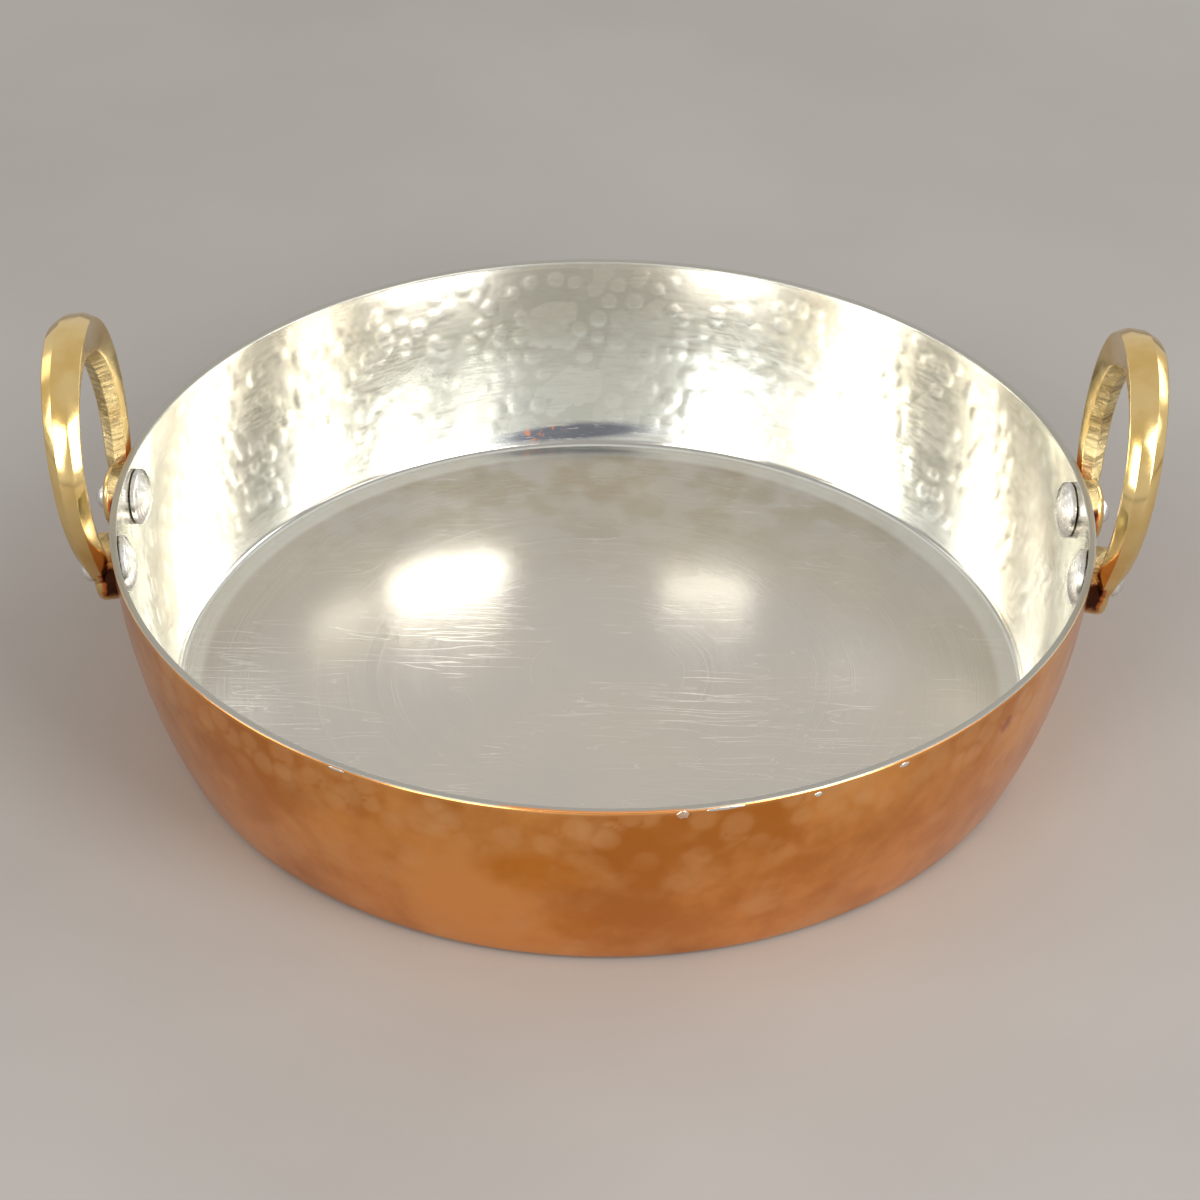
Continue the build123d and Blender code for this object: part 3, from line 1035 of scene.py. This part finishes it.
def bar_section(side, from_top):
    """Points (across, outwards, rough) round the section at one angle. rough is true on the finger side."""
    corners = bar_corners(side, abs(from_top))
    points = []
    for number, corner in enumerate(corners):
        following = corners[(number + 1) % len(corners)]
        before = (corners[number - 1] - corner).normalized() * CORNER_ROUND
        after = (following - corner).normalized() * CORNER_ROUND
        first, last = corner + before, corner + after
        middle = (first + last) / 4 + corner / 2
        points += [(place.x, place.y, number == ROUGH_CORNER) for place in (first, middle, last)]
        stop = following - after
        rough = number in ROUGH_FACES
        crown = Vector((-after.y, after.x)).normalized() * (0 if rough else FACE_CROWN)
        for share in ROUGH_SHARES if rough else POLISHED_SHARES:
            place = last.lerp(stop, share) + crown * 4 * share * (1 - share)
            points.append((place.x, place.y, rough))
    return points


print("section points:", len(bar_section(1, 0.0)))

# %% [markdown]
# ## Sweeping the bar and turning the pads
#
# Sweeping by hand, station by station, gives full control of the taper and of which points are rough. The
# file marks are narrow grooves across the bar, so their depth depends only on the distance along it. Each
# foot pad is a thick coin with a soft edge, and its back is curved to sit on the wall: every point of the
# back is moved in until it lies a hair outside the copper.

# %% Sweep the bar
BAR_STATIONS = 760
FILE_MARK = 0.09 * MM
FILE_MARKS_EVERY = 0.55 * MM
CAST_GRAIN = 0.13 * MM
POLISH_WAVE = 0.06 * MM
STROKE_SLANT = 0.25
STROKE_WANDER = 260.0
BAR_GRAIN_SCALE = 700.0
PAD_GRAIN_SCALE = 500.0
POLISH_SCALE = 110.0
POLISHED, CAST = 0, 1


def ring_frame(side):
    """Middle of one ring and its directions: along the rim, up the lean, and across, away from the pan."""
    out = Vector((side, 0, 0))
    along = Vector((0, side, 0))
    climb = out * sin(HANDLE_LEAN) + Vector((0, 0, cos(HANDLE_LEAN)))
    across = out * cos(HANDLE_LEAN) - Vector((0, 0, sin(HANDLE_LEAN)))
    between_pads = (rivet_places[side, -1][0] + rivet_places[side, 1][0]) / 2 + across * PAD_THICKNESS / 2
    return between_pads + climb * ring_climb, along, climb, across


def sand_grain(point, scale, detail):
    """How far sand grain stands out at a point."""
    return CAST_GRAIN * noise.fractal(point * scale, 0.7, 2.1, detail)


def rough_depth(point, distance, across_by):
    """How far sand grain and file strokes stand out of the finger side at a point."""
    slanted = distance + across_by * STROKE_SLANT
    strokes = noise.noise(Vector((slanted / FILE_MARKS_EVERY, across_by * STROKE_WANDER, 0.5)))
    return FILE_MARK * strokes + sand_grain(point, BAR_GRAIN_SCALE, 4)


def tube_faces(start, rings, around):
    """Faces of a tube, ring by ring, and of its two ends. Its vertices begin at number start."""
    faces = []
    for low in range(start, start + (rings - 1) * around, around):
        for step in range(around):
            after = (step + 1) % around
            faces.append((low + step, low + after, low + around + after, low + around + step))
    faces.append(tuple(range(start, start + around)))
    faces.append(tuple(range(start + (rings - 1) * around, start + rings * around)))
    return faces


def finished_solid(name, vertices, faces, finishes):
    """A solid of a handle, with one finish for each face."""
    made = new_object(name, vertices, faces)
    for finish in (polished_brass_material, cast_brass_material):
        made.data.materials.append(finish)
    made.data.polygons.foreach_set("material_index", finishes)
    return face_outwards(made)


def swept_bar(side):
    """The bar of one handle as a closed mesh, with its finger side in the second finish."""
    middle, along, climb, across = ring_frame(side)
    vertices = []
    for station in range(BAR_STATIONS + 1):
        from_top = ring_half_turn * (2 * station / BAR_STATIONS - 1)
        radial = along * sin(from_top) + climb * cos(from_top)
        for across_by, out_by, rough in bar_section(side, from_top):
            point = middle + radial * (RING_RADIUS + out_by) + across * across_by
            if rough:
                point += radial * rough_depth(point, RING_RADIUS * from_top, across_by)
            else:
                point += radial * POLISH_WAVE * noise.noise(point * POLISH_SCALE)
            vertices.append(point)
    rough_points = [rough for across_by, out_by, rough in bar_section(side, 0.0)]
    following = rough_points[1:] + rough_points[:1]
    finishes = [CAST if rough or after else POLISHED for rough, after in zip(rough_points, following)]
    faces = tube_faces(0, BAR_STATIONS + 1, len(rough_points))
    return finished_solid(f"bar_{side}", vertices, faces, finishes * BAR_STATIONS + [POLISHED, POLISHED])


print("file marks in mm:", 1000 * FILE_MARKS_EVERY)

# %% Turn the pads


def seat_depth(origin, along, climb, out, x, y):
    """How far out from a rivet's origin the wall lies under the point x along and y up a pad."""
    depth = 0.0
    for step in range(6):
        point = origin + along * x + climb * y + out * depth
        level = sqrt(point.x**2 + point.y**2)
        depth += wall_radius(point.z) + SEAT_GAP - level
    return depth


def foot_pad(side, end, around=96, edge_steps=12, side_steps=6):
    """One foot pad: a flat face, a soft edge, a rough side, and a back that follows the wall."""
    origin, along, climb, out = rivet_places[side, end]
    front = [(PAD_RADIUS * share, PAD_THICKNESS) for share in (0.25, 0.5)]
    for step in range(edge_steps + 1):
        angle = pi / 2 * (1 - step / edge_steps)
        front.append((PAD_RADIUS - PAD_EDGE * (1 - cos(angle)), PAD_THICKNESS - PAD_EDGE * (1 - sin(angle))))
    back = [PAD_RADIUS, PAD_RADIUS * 0.66, PAD_RADIUS * 0.33]
    turns = [tau * step / around for step in range(around)]
    seats = {radius: [seat_depth(origin, along, climb, out, radius * cos(turn), radius * sin(turn))
                      for turn in turns] for radius in back}
    side_top = PAD_THICKNESS - PAD_EDGE
    rings = [[(radius, height)] * around for radius, height in front]
    for step in range(1, side_steps):
        share = step / side_steps
        rings.append([(PAD_RADIUS, side_top + (seat - side_top) * share) for seat in seats[PAD_RADIUS]])
    for radius in back:
        rings.append([(radius, seat) for seat in seats[radius]])
    vertices = [origin + out * PAD_THICKNESS]
    for number, ring in enumerate(rings):
        on_side = len(front) <= number < len(front) + side_steps - 1
        for turn, (radius, height) in zip(turns, ring):
            outwards = along * cos(turn) + climb * sin(turn)
            point = origin + outwards * radius + out * height
            if on_side:
                point += outwards * sand_grain(point, PAD_GRAIN_SCALE, 3)
            vertices.append(point)
    vertices.append(origin + out * SEAT_GAP)
    finishes = [POLISHED] * len(front) + [CAST] * (len(rings) + 1 - len(front))
    return finished_solid(f"pad_{side}_{end}", vertices, skin_faces(len(rings), around), finishes * around)


print("pad thickness in mm:", 1000 * PAD_THICKNESS)

# %% [markdown]
# ## Joining bar and pads into one casting
#
# The real handle is poured in one piece, so its mesh is one closed skin too. Boolean modifiers join the
# three solids exactly, and the result is kept as a plain mesh. Faces are smooth except across edges
# sharper than a set angle, which keeps the bar's facets crisp.

# %% Make the two handles
FACET_ANGLE = radians(11.0)


def joined(first, others, name):
    """One closed mesh from several overlapping solids."""
    for other in others:
        modifier = first.modifiers.new("join", "BOOLEAN")
        modifier.operation = "UNION"
        modifier.solver = "EXACT"
        modifier.object = other
    graph = bpy.context.evaluated_depsgraph_get()
    whole = bpy.data.meshes.new_from_object(first.evaluated_get(graph))
    first.modifiers.clear()
    first.data = whole
    first.name = name
    for other in others:
        bpy.data.objects.remove(other)
    return first


def handle(side):
    name = "handle_right_cast" if side > 0 else "handle_left_cast"
    made = joined(swept_bar(side), [foot_pad(side, -1), foot_pad(side, 1)], name)
    made.data.shade_smooth()
    made.data.set_sharp_from_angle(angle=FACET_ANGLE)
    print(name, "faces:", len(made.data.polygons))
    return made


handle_right = handle(1)
handle_left = handle(-1)

# %% [markdown]
# ## The rivets
#
# A rivet is turned: a wide low head inside the pan with faint rings and a small dimple at its centre, a
# shank, and a small formed head outside. All four are the same, so one pattern is turned about its axis
# and Geometry Nodes puts a copy at each place. The four places are single points that carry the direction
# out of the wall.

# %% Make the rivet pattern
SHANK_RADIUS = 2.5 * MM
HEAD_RADIUS = 7.5 * MM
HEAD_EDGE = 1.3 * MM
HEAD_HEIGHT = 3.6 * MM
HEAD_GAP = 0.4 * MM
TAIL_RADIUS = 3.5 * MM
TAIL_EDGE = 1.4 * MM
TAIL_HEIGHT = 3.8 * MM
TURNING_DEPTH = 0.035 * MM
TURNING_PITCH = 0.85 * MM
HEAD_EDGE_ROUND = 0.35 * MM
RIVET_AROUND = 72
TURNED_EDGE_ANGLE = radians(32.0)
RINGS_DEEPEST_AT = 0.62
RINGS_FADE = 0.4
DIMPLE_DEPTH = 0.28 * MM
DIMPLE_RADIUS = 0.9 * MM

under_head = -SHEET - HEAD_GAP
head_top = under_head - HEAD_HEIGHT
tail_top = PAD_THICKNESS + TAIL_HEIGHT


def dome_height(radius, dome_radius, dome_rise):
    """How far a dome has dropped from its top at a radius."""
    ball = (dome_radius**2 + dome_rise**2) / (2 * dome_rise)
    return ball - sqrt(ball**2 - radius**2)


def rivet_outline(head_steps=44, tail_steps=8):
    """Half section of a rivet from the middle of the inner head to the middle of the outer one."""
    head_rise = HEAD_HEIGHT - HEAD_EDGE
    points = []
    for step in range(head_steps + 1):
        radius = (HEAD_RADIUS - HEAD_EDGE_ROUND / 2) * step / head_steps
        fading = exp(-(((radius / HEAD_RADIUS - RINGS_DEEPEST_AT) / RINGS_FADE) ** 2))
        rings = TURNING_DEPTH * sin(tau * radius / TURNING_PITCH) * fading
        dimple = DIMPLE_DEPTH * exp(-((radius / DIMPLE_RADIUS) ** 2))
        points.append((radius, head_top + dome_height(radius, HEAD_RADIUS, head_rise) + rings + dimple))
    points += [
        (HEAD_RADIUS, under_head - HEAD_EDGE + HEAD_EDGE_ROUND / 2),
        (HEAD_RADIUS, under_head - HEAD_EDGE_ROUND / 2),
        (HEAD_RADIUS - HEAD_EDGE_ROUND / 2, under_head),
        (SHANK_RADIUS, under_head),
        (SHANK_RADIUS, PAD_THICKNESS),
        (TAIL_RADIUS, PAD_THICKNESS),
    ]
    for step in range(tail_steps + 1):
        radius = TAIL_RADIUS * (1 - step / tail_steps)
        height = tail_top - dome_height(radius, TAIL_RADIUS, TAIL_HEIGHT - TAIL_EDGE)
        points.append((radius, height))
    return points


rivet_pattern = turned("rivet_pattern", rivet_outline(), RIVET_AROUND)
print("rivet faces:", len(rivet_pattern.data.polygons))

# %% Put a rivet at each place


def rivet_setting():
    """The tree: copies of one pattern on points, each turned to face the way its point says."""
    tree, given = new_tree("rivet_setting", {
        "Places": "Geometry", "Rivet": "Object", "Rivet size": "Float", "Metal": "Material",
    }, "Rivets")
    turn = node(tree, "FunctionNodeAlignRotationToVector", {
        "Vector": stored(tree, "facing", "FLOAT_VECTOR"),
    }, axis="Z")
    pattern = node(tree, "GeometryNodeObjectInfo", {"Object": given["Rivet"]}, transform_space="ORIGINAL")
    copies = node(tree, "GeometryNodeInstanceOnPoints", {
        "Points": given["Places"],
        "Instance": pattern.outputs["Geometry"],
        "Rotation": turn.outputs[0],
        "Scale": given["Rivet size"],
    })
    whole = node(tree, "GeometryNodeRealizeInstances", {"Geometry": copies.outputs[0]})
    finished = node(tree, "GeometryNodeSetMaterial", {
        "Geometry": whole.outputs[0],
        "Material": given["Metal"],
    })
    node(tree, "NodeGroupOutput", {0: finished.outputs[0]})
    return tree


rivets = new_object("rivets_turned", [origin for origin, along, climb, out in rivet_places.values()], [])
facing = rivets.data.attributes.new("facing", "FLOAT_VECTOR", "POINT")
for number, (origin, along, climb, out) in enumerate(rivet_places.values()):
    facing.data[number].vector = out
made_by_nodes(rivets, rivet_setting(), {"Rivet": rivet_pattern, "Rivet size": 1.0, "Metal": rivet_material})
rivets.data.shade_smooth()
rivets.data.set_sharp_from_angle(angle=TURNED_EDGE_ANGLE)
bpy.data.objects.remove(rivet_pattern)
print("four rivets, faces:", len(rivets.data.polygons))

# %% [markdown]
# ## Splashes of tin
#
# A few drops of tin ran over the rim at the front and froze on the copper. Each is a thin, flat blob with
# an uneven outline. They are placed by angle round the pan and drop below the rim, so they sit on the wall
# from every side.

# %% Make the tin splashes
SPLASH_RISE = 0.12 * MM
SPLASH_SINK = 0.25 * MM
SPLASH_UNDERSIDE = 0.98
SPLASH_UNEVEN = 0.28
SPLASH_LOBES = 1.7
SPLASH_SEED_STEP = 5.0
BELOW_RIM = 0.1 * MM
SPLASHES = [
    {"azimuth": -81.2, "drop": 1.6, "width": 3.4, "height": 2.4},
    {"azimuth": -76.8, "drop": 0.9, "width": 10.0, "height": 0.9},
    {"azimuth": -66.3, "drop": 2.3, "width": 2.2, "height": 1.3},
    {"azimuth": -55.6, "drop": 2.2, "width": 2.8, "height": 1.2},
    {"azimuth": -118.9, "drop": 1.0, "width": 4.6, "height": 0.8},
]


def splashes_of_tin(around=28, rings=4):
    """All splashes as one mesh. Each is a tube from its underside over its edge to its middle."""
    layers = [(SPLASH_UNDERSIDE, -SPLASH_SINK)]
    for ring in range(rings, 0, -1):
        layers.append((ring / rings, SPLASH_RISE * (1 - (ring / rings) ** 2)))
    vertices, faces = [], []
    for number, splash in enumerate(SPLASHES):
        faces += tube_faces(len(vertices), len(layers), around)
        for share, lift in layers:
            for step in range(around):
                angle = tau * step / around
                lobe = Vector((cos(angle), sin(angle), 0)) * SPLASH_LOBES
                uneven = noise.noise(lobe + Vector((0, 0, number * SPLASH_SEED_STEP)))
                reach = MM / 2 * share * (1 + SPLASH_UNEVEN * uneven)
                height = PAN_HEIGHT - splash["drop"] * MM + splash["height"] * reach * sin(angle)
                height = min(height, PAN_HEIGHT - BELOW_RIM)
                radius = wall_radius(height, -lift)
                turn = radians(splash["azimuth"]) + splash["width"] * reach * cos(angle) / radius
                vertices.append((radius * cos(turn), radius * sin(turn), height))
    made = face_outwards(new_object("tin_splashes", vertices, faces))
    made.data.materials.append(tinned_wall_material)
    made.data.shade_smooth()
    return made


splashes = splashes_of_tin()
print("splashes:", len(SPLASHES))

# %% [markdown]
# ## Tie every piece to the imported pan
#
# Nothing on this pan moves, so all pieces ride on its one body. Each piece says which imported node it
# stands for and which finish of the record it takes.

# %% Ride and replace
PIECES = [
    (copper, ["pan_body"], "copper"),
    (lining, ["tin_lining"], "tin"),
    (handle_right, ["handle_right"], "handle_brass"),
    (handle_left, ["handle_left"], "handle_brass"),
    (rivets, ["rivet_left_front", "rivet_left_back", "rivet_right_front", "rivet_right_back"], "rivet_metal"),
    (splashes, [], "tin"),
]
for piece, stands_for, finish in PIECES:
    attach(piece, "root")
    if stands_for:
        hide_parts(*stands_for)
    print(piece.name, "stands for", stands_for or "itself")

# %% [markdown]
# ## Table, light and view
#
# The table is a plain pale surface. Large soft panels stand round the pan at the height of a photographer's
# softboxes: they are what the tinned wall mirrors as bright upright bands. The two in front also shine past
# the near rim onto the curved back wall, which gathers their light into two soft spots on the floor. The
# rest of the room is an even grey.

# %% The table
FLOOR_HALF = 6.0
FLOOR_ROUGHNESS = 0.75
FLOOR_GREY = colour(0.28, 0.262, 0.247)
FLOOR_PALE = colour(0.31, 0.292, 0.277)


def pale_floor():
    material, tree = new_material("pale_floor")
    where, x, y, z = object_place(tree)
    tone = layered(tree, FLOOR_GREY, (between(tree, cloud(tree, where, 5.0, 5.0), 0.3, 0.7), FLOOR_PALE))
    corners = [(x * FLOOR_HALF, y * FLOOR_HALF, 0) for x, y in ((-1, -1), (1, -1), (1, 1), (-1, 1))]
    made = new_object("pale_floor", corners, [(0, 1, 2, 3)])
    made.data.materials.append(shaded(material, tone, FLOOR_ROUGHNESS, metallic=0.0))
    return made


floor = pale_floor()
print("floor", 2 * FLOOR_HALF, "m across")

# %% The light panels and the room
PANEL_DISTANCE = 1.6
PANELS = {
    "right_front": {"azimuth": 134.0, "elevation": 31.0, "width": 0.70, "height": 1.10, "power": 8.5},
    "left_front": {"azimuth": -149.0, "elevation": 29.0, "width": 0.56, "height": 0.95, "power": 6.1,
                   "tint": (1.0, 0.99, 0.96)},
    "left": {"azimuth": -103.0, "elevation": 25.0, "width": 0.52, "height": 0.74, "power": 3.6},
    "left_back": {"azimuth": -62.0, "elevation": 28.0, "width": 0.45, "height": 0.70, "power": 1.4,
                  "tint": (1.0, 0.97, 0.90)},
    "right_back": {"azimuth": 59.0, "elevation": 30.0, "width": 0.89, "height": 0.45, "power": 3.6,
                   "tint": (0.97, 0.99, 1.0)},
    "right": {"azimuth": 101.0, "elevation": 34.0, "width": 0.45, "height": 0.70, "power": 2.0,
              "tint": (1.0, 0.98, 0.93)},
}
ROOM_LIGHT = 0.72
ROOM_TINT = (1.0, 0.985, 0.95)


def light_panel(name, azimuth, elevation, width, height, power, tint=(1.0, 1.0, 1.0)):
    """A soft panel facing the pan. azimuth is counted from straight behind the pan, towards the right."""
    turn, rise = radians(azimuth), radians(elevation)
    towards = Vector((sin(turn) * cos(rise), cos(turn) * cos(rise), sin(rise)))
    lamp = bpy.data.lights.new(name, "AREA")
    lamp.shape = "RECTANGLE"
    lamp.size = width
    lamp.size_y = height
    lamp.color = tint
    lamp.energy = power * pi * width * height
    made = bpy.data.objects.new(name, lamp)
    bpy.context.scene.collection.objects.link(made)
    made.location = towards * PANEL_DISTANCE
    made.rotation_mode = "QUATERNION"
    made.rotation_quaternion = towards.to_track_quat("Z", "Y")
    return made


for name, panel in PANELS.items():
    light_panel(f"panel_{name}", **panel)
room = bpy.data.worlds.new("room")
room.use_nodes = True
backdrop = room.node_tree.nodes["Background"]
backdrop.inputs["Color"].default_value = (*ROOM_TINT, 1.0)
backdrop.inputs["Strength"].default_value = ROOM_LIGHT
bpy.context.scene.world = room
bpy.context.scene.view_settings.view_transform = "Standard"
print("panels:", sorted(PANELS))
